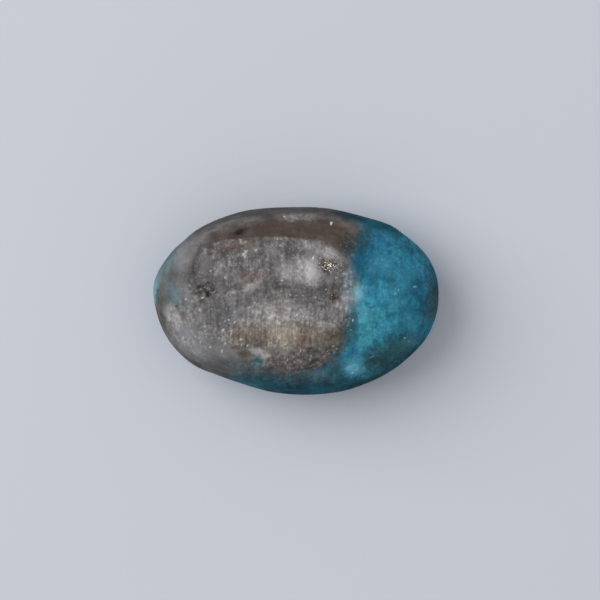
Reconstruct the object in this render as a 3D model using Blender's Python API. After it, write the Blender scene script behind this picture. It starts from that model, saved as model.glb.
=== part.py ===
"""Turquoise nugget: one piece of turquoise grown together with its grey host rock.

Its outline is ground to a smooth oval. On top is a rough, flattened face with a rounded bevel all round,
and the underside is a low dome with a small flat, on which it rests. It is one solid.

Frame, in metres: +Z up, the origin on the rest plane under the middle of the stone, +X towards the
broad end of clean turquoise, +Y towards the side where the rough face comes nearest to the edge.

Run it with blender --background --python part.py, or from Blender's text editor.
"""

import math
from typing import NamedTuple

import bmesh
import bpy
from mathutils import Vector, noise


class Outline(NamedTuple):
    """A smooth closed curve, seen from above, through radii at even angles from +X towards +Y."""

    middle: tuple
    radii: tuple
    slimness: float  # length over width, which spaces the points of a ring evenly


MM = 0.001

# Driving dimensions
GIRDLE_HEIGHT = 2.9 * MM  # of the widest outline above the rest plane
FACE_RISE = 2.95 * MM  # of the rough face above the girdle, at its middle

# 16.0 mm long and 10.5 mm wide, one radius every 15 degrees
GIRDLE = Outline(
    middle=(0.0, 0.0),
    radii=(
        7.98 * MM, 7.87 * MM, 7.20 * MM, 6.31 * MM, 5.72 * MM, 5.40 * MM,
        5.26 * MM, 5.40 * MM, 5.79 * MM, 6.37 * MM, 7.11 * MM, 7.75 * MM,
        7.92 * MM, 7.57 * MM, 6.88 * MM, 6.02 * MM, 5.52 * MM, 5.32 * MM,
        5.25 * MM, 5.42 * MM, 5.80 * MM, 6.30 * MM, 6.93 * MM, 7.64 * MM,
    ),
    slimness=1.52,
)

# The rim of the rough face, one radius every 30 degrees
FACE = Outline(
    middle=(-1.3 * MM, 0.5 * MM),
    radii=(
        4.85 * MM, 4.10 * MM, 3.33 * MM, 3.03 * MM, 3.42 * MM, 4.55 * MM,
        4.70 * MM, 4.30 * MM, 3.50 * MM, 3.15 * MM, 3.65 * MM, 4.46 * MM,
    ),
    slimness=1.48,
)
FACE_SLOPE = Vector((0.065, -0.035))  # rise of the rough face along X and along Y

# The rest flat, one radius every 60 degrees
REST = Outline(
    middle=(0.1 * MM, -0.1 * MM),
    radii=(3.4 * MM, 2.5 * MM, 2.4 * MM, 3.3 * MM, 2.6 * MM, 2.3 * MM),
    slimness=1.4,
)

# Each side of the stone is an arc that stands upright at the girdle. These are the angles that it has
# turned through where it meets the rough face: least, and so most sharply, at the +Y side.
BEVEL_TURN = math.radians(72)
BEVEL_TURN_LESS = math.radians(9)
REST_TURN = math.radians(74)

# Rings of points
POINTS_ROUND = 112
CROWN_RINGS = 16
BASE_RINGS = 10
RIM_INSET = 0.12 * MM  # of the ring just inside the rim of the rough face

# Forms on the surface: place (X, Y, and Z above the girdle), radii along X, Y and Z, and height, in mm.
# A negative height is a hollow.
LUMPS = {
    "nose at the narrow end": ((-7.7, 0.9, 0.3), (1.3, 1.9, 1.6), 0.13),
    "crease beside the nose": ((-6.2, 3.2, 0.6), (0.7, 0.9, 1.5), -0.10),
    "shoulder under the crease": ((-5.3, -3.3, 0.9), (1.8, 1.2, 1.2), 0.06),
    "swell of the broad end": ((5.2, 0.6, 2.7), (2.2, 2.4, 1.2), 0.06),
    "hollow in the upper bevel": ((-3.15, 3.85, 2.6), (0.70, 0.55, 0.8), -0.12),
    "pit on the rough face": ((-4.95, 0.75, 2.7), (0.60, 0.50, 0.6), -0.20),
    "small pit beside it": ((-4.30, 0.35, 2.8), (0.45, 0.40, 0.5), -0.12),
    "chip at the lower rim": ((-2.05, -2.95, 2.9), (0.75, 0.55, 0.8), -0.20),
    "lip above the chip": ((-2.1, -2.35, 2.9), (0.60, 0.35, 0.5), 0.08),
    "brown hollow at the rim": ((2.15, -1.95, 3.1), (0.75, 0.50, 0.6), -0.13),
    "pyrite patch": ((1.95, 2.05, 3.0), (0.80, 0.60, 0.6), -0.10),
    "quartz swell": ((0.70, 1.80, 3.0), (0.80, 0.90, 0.6), 0.06),
    "lower rim dents": ((0.9, -3.0, 2.9), (1.0, 0.50, 0.6), -0.09),
    "rock pocket in the lower bevel": ((5.2, -3.0, 1.4), (1.5, 0.9, 1.0), -0.12),
    "crease in the lower edge": ((-0.5, -5.0, 0.8), (0.9, 0.5, 0.6), -0.09),
    "worn spot on the broad edge": ((7.5, 0.4, 0.9), (0.7, 1.4, 0.8), -0.07),
    "dent under the broad end": ((4.3, 1.7, -2.3), (1.2, 0.9, 0.9), -0.15),
    "seam hollow below": ((-2.9, -2.9, -2.2), (1.7, 0.7, 0.9), -0.14),
    "low swell below": ((-5.0, 1.6, -2.3), (1.7, 1.5, 1.2), 0.09),
    "chip below the narrow end": ((-6.6, -1.0, -1.4), (0.7, 0.9, 0.7), -0.12),
}

# The flake: a thin plate of rock left on the girdle, which ends in a step
FLAKE_STEP = math.radians(34)
FLAKE_FADE = math.radians(52)
FLAKE_THICKNESS = 0.09 * MM
FLAKE_HALF_HEIGHT = 1.0 * MM

# Natural unevenness: wavelength and height of each layer
SWELLS = ((3.2 * MM, 0.055 * MM), (1.3 * MM, 0.018 * MM))
FACE_GRAIN = (0.75 * MM, 0.040 * MM)
NOISE_PLACE = Vector((11.3, 4.7, 2.9))  # which stretch of the noise is used

TURQUOISE = (0.035, 0.175, 0.260, 1.0)
HOST_ROCK = (0.150, 0.140, 0.138, 1.0)
TURQUOISE_ROUGHNESS = 0.35
HOST_ROCK_ROUGHNESS = 0.60
SHARP_ANGLE = math.radians(30)


def smooth_step(low, high, value):
    share = min(max((value - low) / (high - low), 0.0), 1.0)
    return share * share * (3.0 - 2.0 * share)


def radius_at(outline, angle):
    """Distance from the outline's middle to its curve in this direction."""
    radii = outline.radii
    place = angle / math.tau * len(radii) % len(radii)
    index = int(place)
    t = place - index
    before, start, end, after = (radii[(index + step) % len(radii)] for step in (-1, 0, 1, 2))
    cubic = after - before + 3.0 * (start - end)
    square = 2.0 * before - 5.0 * start + 4.0 * end - after
    return start + 0.5 * t * (end - before + t * (square + t * cubic))


def outline_point(outline, turn):
    """Point of an outline at this turn round it, from 0 to 2 pi."""
    angle = math.atan2(math.sin(turn), outline.slimness * math.cos(turn))
    radius = radius_at(outline, angle)
    x, y = outline.middle
    return Vector((x + radius * math.cos(angle), y + radius * math.sin(angle)))


def face_height(place):
    """Height of the rough face's plane above the girdle at (X, Y)."""
    return FACE_RISE + FACE_SLOPE.dot(Vector(place) - Vector(FACE.middle))


def side_point(girdle, edge, edge_height, edge_turn, share):
    """Point on the arc from a flat's edge, at share 0, to the girdle, at share 1. Z is above the girdle."""
    turn = edge_turn * (1.0 - share)
    out = (math.cos(turn) - math.cos(edge_turn)) / (1.0 - math.cos(edge_turn))
    height = edge_height * math.sin(turn) / math.sin(edge_turn)
    return (*edge.lerp(girdle, out), height)


def crown_ring(share):
    """Ring of points between the rim of the rough face, at share 0, and the girdle, at share 1."""
    points = []
    for index in range(POINTS_ROUND):
        turn = math.tau * index / POINTS_ROUND
        rim = outline_point(FACE, turn)
        bevel_turn = BEVEL_TURN - BEVEL_TURN_LESS * math.sin(turn)
        girdle = outline_point(GIRDLE, turn)
        points.append(side_point(girdle, rim, face_height(rim), bevel_turn, share))
    return points


def base_ring(share):
    """Ring of points between the edge of the rest flat, at share 0, and the girdle, at share 1."""
    points = []
    for index in range(POINTS_ROUND):
        turn = math.tau * index / POINTS_ROUND
        girdle = outline_point(GIRDLE, turn)
        points.append(side_point(girdle, outline_point(REST, turn), -GIRDLE_HEIGHT, REST_TURN, share))
    return points


def inset_rim():
    """Ring of points on the rough face, just inside its rim."""
    points = []
    for index in range(POINTS_ROUND):
        rim = outline_point(FACE, math.tau * index / POINTS_ROUND)
        inward = (Vector(FACE.middle) - rim).normalized()
        place = rim + RIM_INSET * inward
        points.append((*place, face_height(place)))
    return points


def add_ring(stone, points):
    verts = [stone.verts.new(point) for point in points]
    return [stone.edges.new((start, end)) for start, end in zip(verts, verts[1:] + verts[:1])]


def fill_face(stone, ring):
    """Fills the rough face with a grid of quads, flat on its plane."""
    side = POINTS_ROUND // 4
    corner = side // 2
    rails = ring[corner : corner + side] + ring[corner + 2 * side : corner + 3 * side]
    filled = bmesh.ops.grid_fill(stone, edges=rails)["faces"]
    for vert in {vert for face in filled for vert in face.verts}:
        vert.co.z = face_height(vert.co.xy)


def lump_height(point):
    """Sum of the lumps and hollows at this point."""
    total = 0.0
    for place, radii, height in LUMPS.values():
        reach = math.hypot(*((point[k] / MM - place[k]) / radii[k] for k in range(3)))
        total += height * MM * (1.0 - smooth_step(0.0, 1.0, reach))
    return total


def flake_height(point):
    angle = math.atan2(point.y, point.x)
    step = smooth_step(FLAKE_STEP - math.radians(1), FLAKE_STEP + math.radians(1), angle)
    fade = 1.0 - smooth_step(FLAKE_STEP + math.radians(4), FLAKE_FADE, angle)
    level = 1.0 - smooth_step(FLAKE_HALF_HEIGHT / 2.0, FLAKE_HALF_HEIGHT, abs(point.z))
    return FLAKE_THICKNESS * step * fade * level


def unevenness(point):
    """Natural swells everywhere, and a finer grain on the rough face."""
    total = sum(height * noise.noise(point / wave + NOISE_PLACE) for wave, height in SWELLS)
    wave, height = FACE_GRAIN
    below_face = face_height(point.xy) - point.z
    on_face = 1.0 - smooth_step(0.0, 2.0 * RIM_INSET, below_face)
    return total + on_face * height * noise.noise(point / wave - NOISE_PLACE)


def give_relief(stone):
    """Moves each point along its normal, by the forms on the surface there."""
    stone.normal_update()
    moves = [
        vert.normal * (lump_height(vert.co) + flake_height(vert.co) + unevenness(vert.co))
        for vert in stone.verts
    ]
    for vert, move in zip(stone.verts, moves):
        vert.co += move


def level_rest(stone, ring):
    """Brings the edge of the rest flat back to one plane and closes it with one face."""
    for vert in {vert for edge in ring for vert in edge.verts}:
        vert.co.z = -GIRDLE_HEIGHT
    bmesh.ops.contextual_create(stone, geom=ring)


def move_to_origin(stone):
    """Puts the middle of the stone's box over the origin, and its rest flat at Z = 0."""
    xs = [vert.co.x for vert in stone.verts]
    ys = [vert.co.y for vert in stone.verts]
    middle = ((min(xs) + max(xs)) / 2.0, (min(ys) + max(ys)) / 2.0)
    bmesh.ops.translate(stone, verts=stone.verts[:], vec=(-middle[0], -middle[1], GIRDLE_HEIGHT))


def stone_form():
    stone = bmesh.new()
    face_ring = add_ring(stone, inset_rim())
    crown = [add_ring(stone, crown_ring(index / CROWN_RINGS)) for index in range(CROWN_RINGS + 1)]
    base = [add_ring(stone, base_ring(index / BASE_RINGS)) for index in reversed(range(BASE_RINGS))]
    rings = [face_ring, *crown, *base]
    for upper, lower in zip(rings, rings[1:]):
        bmesh.ops.bridge_loops(stone, edges=upper + lower)
    fill_face(stone, face_ring)
    bmesh.ops.recalc_face_normals(stone, faces=stone.faces[:])
    give_relief(stone)
    level_rest(stone, base[-1])
    bmesh.ops.recalc_face_normals(stone, faces=stone.faces[:])
    move_to_origin(stone)
    return stone


def is_host_rock(point):
    """True where the stone is grey host rock, which lies over the turquoise like a cap at the narrow end."""
    x, y, z = (point - Vector((0.0, 0.0, GIRDLE_HEIGHT))) / MM
    return 0.80 * (3.3 - x) + 0.55 * (y + 1.2) + 0.75 * (z - 1.9) > 0.0


def material(name, colour, roughness):
    made = bpy.data.materials.new(name)
    made.use_nodes = True
    made.diffuse_color = colour
    shader = made.node_tree.nodes["Principled BSDF"]
    shader.inputs["Base Color"].default_value = colour
    shader.inputs["Roughness"].default_value = roughness
    shader.inputs["Metallic"].default_value = 0.0
    return made


def make_nugget():
    stone = stone_form()
    for face in stone.faces:
        face.material_index = int(is_host_rock(face.calc_center_median()))
    mesh = bpy.data.meshes.new("turquoise_nugget")
    stone.to_mesh(mesh)
    stone.free()
    mesh.materials.append(material("turquoise", TURQUOISE, TURQUOISE_ROUGHNESS))
    mesh.materials.append(material("host_rock", HOST_ROCK, HOST_ROCK_ROUGHNESS))
    mesh.shade_smooth()
    mesh.set_sharp_from_angle(angle=SHARP_ANGLE)
    nugget = bpy.data.objects.new("turquoise_nugget", mesh)
    bpy.context.scene.collection.objects.link(nugget)


def main():
    for old in list(bpy.data.objects):
        bpy.data.objects.remove(old)
    make_nugget()


main()
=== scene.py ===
"""Turquoise nugget: the finished stone with its pyrite and quartz grains, in a plain studio.

The stone's skin is worked over the solid of the same name: the mesh is refined, its natural grain is
raised and its chips are cut, and its two minerals are told apart by attributes that the skin carries.
Places and sizes of marks are in millimetres, in the frame of the solid: +X towards the broad end of
clean turquoise and +Z up, out of the rough face.
"""

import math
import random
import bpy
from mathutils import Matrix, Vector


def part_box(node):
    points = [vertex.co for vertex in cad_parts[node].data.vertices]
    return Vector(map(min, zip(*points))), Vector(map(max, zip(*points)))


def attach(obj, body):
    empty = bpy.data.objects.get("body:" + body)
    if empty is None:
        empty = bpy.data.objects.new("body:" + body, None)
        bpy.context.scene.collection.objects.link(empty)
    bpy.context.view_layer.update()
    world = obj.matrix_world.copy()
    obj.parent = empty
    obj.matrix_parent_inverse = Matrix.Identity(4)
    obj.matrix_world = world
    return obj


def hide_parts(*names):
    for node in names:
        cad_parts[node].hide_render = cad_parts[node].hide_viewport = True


bl_info = {
    "name": "Turquoise Nugget",
    "version": (1, 0, 0),
    "blender": (4, 5, 0),
    "location": "3D View > Sidebar > Nugget",
    "description": "Models and finishes an oval turquoise nugget in grey host rock",
    "category": "Add Mesh",
}

from typing import NamedTuple

import bpy
from mathutils import Vector, noise

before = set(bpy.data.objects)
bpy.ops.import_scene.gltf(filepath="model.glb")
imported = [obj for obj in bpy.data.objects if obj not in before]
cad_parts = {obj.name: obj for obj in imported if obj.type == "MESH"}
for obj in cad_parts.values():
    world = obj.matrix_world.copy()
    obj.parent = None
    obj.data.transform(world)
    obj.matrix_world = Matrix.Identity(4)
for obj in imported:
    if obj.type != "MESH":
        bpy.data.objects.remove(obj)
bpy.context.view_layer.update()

MM = 0.001
SOLID = "turquoise_nugget"
BODY = "root"
BOX_LOW, BOX_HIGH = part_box(SOLID)

# ---- Where the stone's zones lie ----
# Curves are closed and seen from above: radii in mm at even angles from +X towards +Y, round a middle.

FACE_MIDDLE = Vector((-1.27, 0.52))
FACE_RIM = (4.85, 4.10, 3.33, 3.03, 3.42, 4.55, 4.70, 4.30, 3.50, 3.15, 3.65, 4.46)
ROCK_MIDDLE = Vector((-1.30, 0.50))
ROCK_EDGE = (
    4.42, 4.62, 5.50, 6.35, 5.90, 8.00, 8.00, 8.00, 8.00, 8.00, 8.00, 8.00,
    8.00, 8.00, 8.00, 8.00, 5.60, 4.90, 4.72, 4.85, 4.98, 4.95, 4.74, 4.55,
)
ROCK_EDGE_BELOW = (9.0, 9.0, 5.2, 4.3, 4.6, 6.2, 9.0, 6.8, 5.6, 9.0, 9.0, 9.0)
WAVES_BELOW = 1.6  # how far, in mm, the edge of the rock wanders on the underside
GIRDLE_HEIGHT = 2.9
GIRDLE_BLEND = (-1.1, -0.2)  # heights above the girdle between which the lower zones turn into the upper
FACE_BLEND = (0.0, 1.0)  # heights above the girdle between which the rough face sets in
OUT_OF_FACE = -3.0  # depth in the face, in mm, of all that lies below it


def smooth_step(low, high, value):
    share = min(max((value - low) / (high - low), 0.0), 1.0)
    return share * share * (3.0 - 2.0 * share)


def radius_towards(radii, place):
    """Radius of a closed curve in the direction of this place, which is measured from its middle."""
    turn = math.atan2(place.y, place.x) / math.tau * len(radii) % len(radii)
    index = int(turn)
    t = turn - index
    before, start, end, after = (radii[(index + step) % len(radii)] for step in (-1, 0, 1, 2))
    cubic = after - before + 3.0 * (start - end)
    square = 2.0 * before - 5.0 * start + 4.0 * end - after
    return start + 0.5 * t * (end - before + t * (square + t * cubic))


def depth_in_face(point):
    """How far a point lies inside the rim of the rough face, in mm."""
    place = point.xy - FACE_MIDDLE
    share = smooth_step(*FACE_BLEND, point.z - GIRDLE_HEIGHT)
    return OUT_OF_FACE + share * (radius_towards(FACE_RIM, place) - place.length - OUT_OF_FACE)


def depth_in_rock(point):
    """How far a point lies inside the host rock, in mm. It is negative in the turquoise."""
    place = point.xy - ROCK_MIDDLE
    above = radius_towards(ROCK_EDGE, place) - place.length
    below = point.xy.length - radius_towards(ROCK_EDGE_BELOW, point.xy)
    below += WAVES_BELOW * noise.noise(point * 0.55)
    share = smooth_step(*GIRDLE_BLEND, point.z - GIRDLE_HEIGHT)
    return below + share * (above - below)


# ---- Colours, as a screen shows them, and the marks that wear them ----


def screen_colour(red, green, blue):
    """A colour given as 0 to 255 on a screen, as the linear light that Blender works in."""
    shares = (level / 255.0 for level in (red, green, blue))
    return tuple(s / 12.92 if s <= 0.04045 else ((s + 0.055) / 1.055) ** 2.4 for s in shares)


PALETTE = {
    "rock_grey": ("Grey rock", (105, 102, 102)),
    "rock_pale": ("Pale rock", (142, 140, 140)),
    "rock_dark": ("Dark rock", (78, 75, 74)),
    "cool_grey": ("Cool rock", (98, 99, 106)),
    "band_brown": ("Brown band", (86, 75, 70)),
    "pit_black": ("Dark pits", (48, 42, 38)),
    "ochre": ("Ochre stain", (135, 123, 111)),
    "cream": ("Cream grains", (178, 168, 152)),
    "olive": ("Olive stain", (88, 82, 68)),
    "rust": ("Rust stain", (118, 94, 84)),
    "cool_pale": ("Cool pale rock", (150, 152, 158)),
    "quartz": ("Quartz patch", (192, 189, 188)),
    "turquoise": ("Turquoise", (60, 136, 161)),
    "turquoise_deep": ("Deep turquoise", (36, 96, 124)),
    # Dark turquoise spots, and also painted shade along the rims
    "turquoise_dark": ("Dark turquoise and painted rim shade", (12, 58, 70)),
    "turquoise_green": ("Green turquoise", (66, 148, 162)),
    "turquoise_pale": ("Pale turquoise", (104, 182, 204)),
    "sea_grey": ("Grey turquoise", (98, 130, 137)),
    "green_brown": ("Green brown", (54, 84, 88)),
    "slate_dark": ("Dark seam", (50, 74, 82)),
    "slate_pale": ("Pale seam", (122, 138, 144)),
    "deep_teal": ("Deep teal", (36, 80, 92)),
    "vein_brown": ("Veins", (64, 56, 48)),
    # Painted glints, on the rock and on the turquoise
    "spark": ("Painted white glints", (226, 228, 228)),
    "spark_blue": ("Painted blue-white glints", (176, 220, 232)),
}


class Mark(NamedTuple):
    """A soft-edged patch: an ellipsoid turned about Z, in mm and degrees."""

    colour: str
    place: tuple
    radii: tuple
    strength: float
    turn: float = 0.0
    edge: float = 0.8  # share of its size over which it fades, to either side of its edge
    zone: str = "all"  # or face, bevel, streaks or gaps, which lie between the streaks


ROCK_MARKS = {
    # Painted shade: grey rock darkened at the top rim
    "painted shade along the top rim": Mark("rock_dark", (-1.2, 5.0, 3.9), (4.8, 0.5, 1.2), 0.7, 0, 0.6, "bevel"),
    "painted shade, top rim left": Mark("rock_dark", (-4.3, 4.35, 3.8), (1.7, 0.32, 1.2), 0.6, 24, 0.7, "bevel"),
    "brown band, middle": Mark("band_brown", (-0.4, 3.9, 5.5), (2.6, 0.85, 1.8), 0.95, 0, 0.3, "bevel"),
    "brown band, left": Mark("band_brown", (-3.3, 3.6, 5.3), (1.7, 0.6, 1.8), 0.85, 14, 0.4, "bevel"),
    "brown band, left end": Mark("band_brown", (-4.25, 3.42, 5.2), (0.75, 0.36, 1.4), 0.7, 26, 0.6, "bevel"),
    "brown band, right": Mark("band_brown", (2.2, 3.55, 5.5), (1.5, 0.95, 1.8), 0.9, -30, 0.35, "bevel"),
    "olive end of the band": Mark("olive", (2.9, 3.75, 5.3), (0.9, 0.8, 1.5), 0.55, -20, 0.6, "bevel"),
    "dark end of the band": Mark("pit_black", (2.6, 3.2, 5.4), (0.42, 0.48, 1.2), 0.38),
    "brown end of the band": Mark("rust", (2.85, 4.15, 5.0), (0.55, 0.35, 1.2), 0.45, 0, 0.7, "bevel"),
    "pale streaks, top right": Mark("rock_pale", (2.9, 4.2, 4.6), (0.42, 0.14, 0.8), 0.25, 5),
    "brown black spot": Mark("pit_black", (-3.14, 3.82, 5.3), (0.48, 0.24, 0.6), 0.62, 40, 0.7),
    # Pale specks with painted glints along the top edge
    "pale specks and painted glints, top": Mark("rock_pale", (0.0, 4.62, 4.6), (0.85, 0.2, 0.8), 0.8, 0, 0.7),
    # Painted shade in the crease beside the face
    "painted shade in the crease, left": Mark("rock_dark", (-5.55, 2.15, 5.3), (0.24, 1.15, 1.5), 0.8, -20, 0.5),
    # Pale rock on the left bevel, with painted sheen from the lamp on the left
    "pale left bevel, painted sheen": Mark("rock_pale", (-6.1, 2.5, 4.6), (0.6, 1.1, 1.6), 0.45, -20, 0.6),
    "teal haze, left": Mark("sea_grey", (-7.0, 2.2, 4.0), (0.45, 1.0, 1.5), 0.5, -25, 0.7),
    "teal rim, upper left": Mark("sea_grey", (-7.25, 2.1, 3.3), (0.25, 1.1, 1.0), 0.8, -32, 0.6),
    "dark shade, left": Mark("rock_dark", (-6.55, 1.3, 4.5), (0.6, 0.9, 1.5), 0.55, -5, 0.7),
    "teal rim, left": Mark("turquoise_pale", (-7.93, 0.65, 3.1), (0.27, 1.05, 1.0), 0.45, -8, 0.4),
    "teal spot, left": Mark("sea_grey", (-6.85, 0.45, 4.4), (0.42, 0.7, 1.0), 0.55, 0, 0.7),
    "brown patch at the tip": Mark("band_brown", (-7.46, 0.35, 3.8), (0.26, 0.46, 1.3), 0.52, 0, 0.6),
    "white streak, left": Mark("quartz", (-6.85, -1.0, 4.2), (0.34, 0.85, 1.5), 0.45, 14, 0.7),
    "white streak, low left": Mark("rock_pale", (-6.2, -2.2, 4.2), (0.8, 0.6, 1.5), 0.5, -45),
    "grey lower left": Mark("rock_pale", (-5.6, -2.7, 4.4), (1.6, 0.5, 1.5), 0.4, -30, 0.7),
    # Painted shade along the lower left rim
    "dark lower left edge": Mark("rock_dark", (-4.2, -3.9, 3.6), (1.3, 0.4, 1.2), 0.5, -28, 0.6),
    "green grey, lower left edge": Mark("green_brown", (-4.2, -3.65, 4.0), (1.5, 0.32, 1.2), 0.28, -27),
    "stain at the upper left": Mark("band_brown", (-3.3, 2.95, 5.8), (0.8, 0.4, 1.0), 0.5, 8, 0.7, "face"),
    "rust at the upper left": Mark("rust", (-3.6, 3.05, 5.8), (0.6, 0.3, 1.0), 0.42, 8, 0.8, "face"),
    "cream spot": Mark("cream", (-2.97, 3.3, 5.8), (0.2, 0.15, 0.5), 0.7, 0, 0.6),
    "white grain": Mark("quartz", (-2.8, 2.6, 5.8), (0.2, 0.12, 0.5), 0.8, 65, 0.5),
    "white grains, upper left": Mark("rock_pale", (-3.6, 2.1, 5.8), (0.9, 0.45, 0.8), 0.45, 10),
    "dark pits, left": Mark("pit_black", (-5.15, 0.55, 5.6), (0.62, 0.42, 0.8), 0.5, 0, 0.7),
    "dark trail": Mark("rock_dark", (-4.3, 0.95, 5.6), (1.2, 0.4, 0.8), 0.35, 10),
    "dark trail below": Mark("rock_dark", (-4.2, -0.25, 5.6), (1.0, 0.28, 0.8), 0.25, 20),
    "pale wisp": Mark("rock_pale", (-4.0, 0.25, 5.7), (0.95, 0.13, 0.8), 0.35, 22, 0.7),
    "pale wisp, middle": Mark("quartz", (-2.55, 0.85, 5.8), (0.55, 0.16, 0.8), 0.4, 35, 0.7),
    "cool shade, left": Mark("rock_dark", (-3.9, -0.8, 5.7), (0.9, 0.5, 1.2), 0.45),
    "pale grains, left": Mark("rock_pale", (-5.2, -1.9, 5.3), (1.5, 0.6, 1.2), 0.35, -25),
    "brown patch": Mark("rust", (-2.4, 1.28, 5.8), (0.62, 0.42, 0.8), 0.42, 15),
    "dark middle": Mark("rock_dark", (-0.6, 0.4, 5.9), (1.7, 0.7, 0.9), 0.36),
    "dark right": Mark("rock_dark", (1.1, 0.5, 6.0), (1.3, 0.55, 0.9), 0.48),
    "quartz patch": Mark("quartz", (0.38, 1.58, 6.0), (0.95, 0.72, 0.9), 0.36, -8, 0.7),
    "quartz core": Mark("quartz", (0.74, 1.55, 6.0), (0.46, 0.5, 0.9), 0.55, -10, 0.6),
    "quartz haze": Mark("quartz", (1.45, 2.85, 6.0), (1.0, 0.3, 0.8), 0.4, -16),
    "pyrite bed": Mark("pit_black", (1.55, 1.86, 6.0), (0.72, 0.3, 0.8), 0.68, -3, 0.6),
    "gold brown spot": Mark("band_brown", (2.13, 0.24, 6.0), (0.36, 0.26, 0.6), 0.75, 0, 0.6),
    "pale lower patch": Mark("quartz", (-1.5, -0.85, 5.8), (1.8, 0.85, 1.0), 0.4),
    "pale right patch": Mark("rock_pale", (1.8, -0.8, 6.0), (1.2, 0.6, 1.0), 0.5, -8),
    "ochre, left": Mark("ochre", (-2.6, -1.75, 5.8), (0.8, 0.75, 1.0), 0.45, 0, 0.7),
    "ochre, far left": Mark("ochre", (-3.28, -2.1, 5.7), (0.36, 0.8, 1.0), 0.45),
    "ochre, middle": Mark("ochre", (-0.7, -1.95, 5.8), (1.5, 0.75, 1.0), 0.8, 0, 0.6),
    "cream, middle": Mark("cream", (-0.9, -1.75, 5.8), (0.5, 0.8, 1.0), 0.15),
    "brown, right": Mark("ochre", (1.3, -1.9, 5.9), (1.2, 0.55, 1.0), 0.5, -5, 0.7),
    "brown streaks": Mark("band_brown", (-0.9, -1.95, 5.8), (2.6, 0.85, 1.0), 0.42, 0, 0.5, "streaks"),
    "cream streaks": Mark("cream", (-1.2, -1.85, 5.8), (2.0, 0.8, 1.0), 0.38, 0, 0.6, "gaps"),
    "rust, middle": Mark("rust", (0.35, -2.2, 5.8), (0.42, 0.32, 0.8), 0.65, 0, 0.7),
    "olive hollow": Mark("olive", (2.05, -2.05, 5.9), (0.85, 0.42, 0.9), 0.9, 10, 0.6),
    "broken rim, right": Mark("pit_black", (1.5, -2.75, 5.6), (1.1, 0.3, 0.8), 0.5, 12),
    "broken rim, left": Mark("pit_black", (-2.85, -2.74, 5.6), (0.38, 0.18, 0.8), 0.35, 10, 0.6),
    "dark olive notch": Mark("olive", (-2.95, -2.95, 5.5), (0.36, 0.26, 0.8), 0.8, 0, 0.6),
    "brown lower bevel": Mark("band_brown", (-0.3, -3.4, 5.0), (2.5, 0.8, 1.5), 0.6, 0, 0.7),
    "pale grains, lower bevel": Mark("rock_pale", (-0.4, -3.0, 5.2), (0.9, 0.5, 1.2), 0.4),
    "dark corner": Mark("pit_black", (1.5, -3.3, 5.0), (1.1, 0.4, 1.2), 0.4, 20),
    "teal under the chip": Mark("sea_grey", (-2.12, -3.36, 5.2), (0.38, 0.3, 0.9), 0.9, 0, 0.7),
    "white chip": Mark("quartz", (-2.15, -2.8, 5.6), (0.48, 0.22, 0.9), 0.65, -8, 0.7),
    "white chip, right end": Mark("quartz", (-1.76, -2.94, 5.5), (0.22, 0.2, 0.9), 0.45, 0, 0.6),
    "grey green, below": Mark("green_brown", (-2.6, -3.75, 4.6), (1.4, 0.45, 1.2), 0.55, -18, 0.7),
    "pale rock by the chip": Mark("rock_pale", (-1.4, -2.5, 5.7), (0.4, 0.3, 0.9), 0.35),
}

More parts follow.
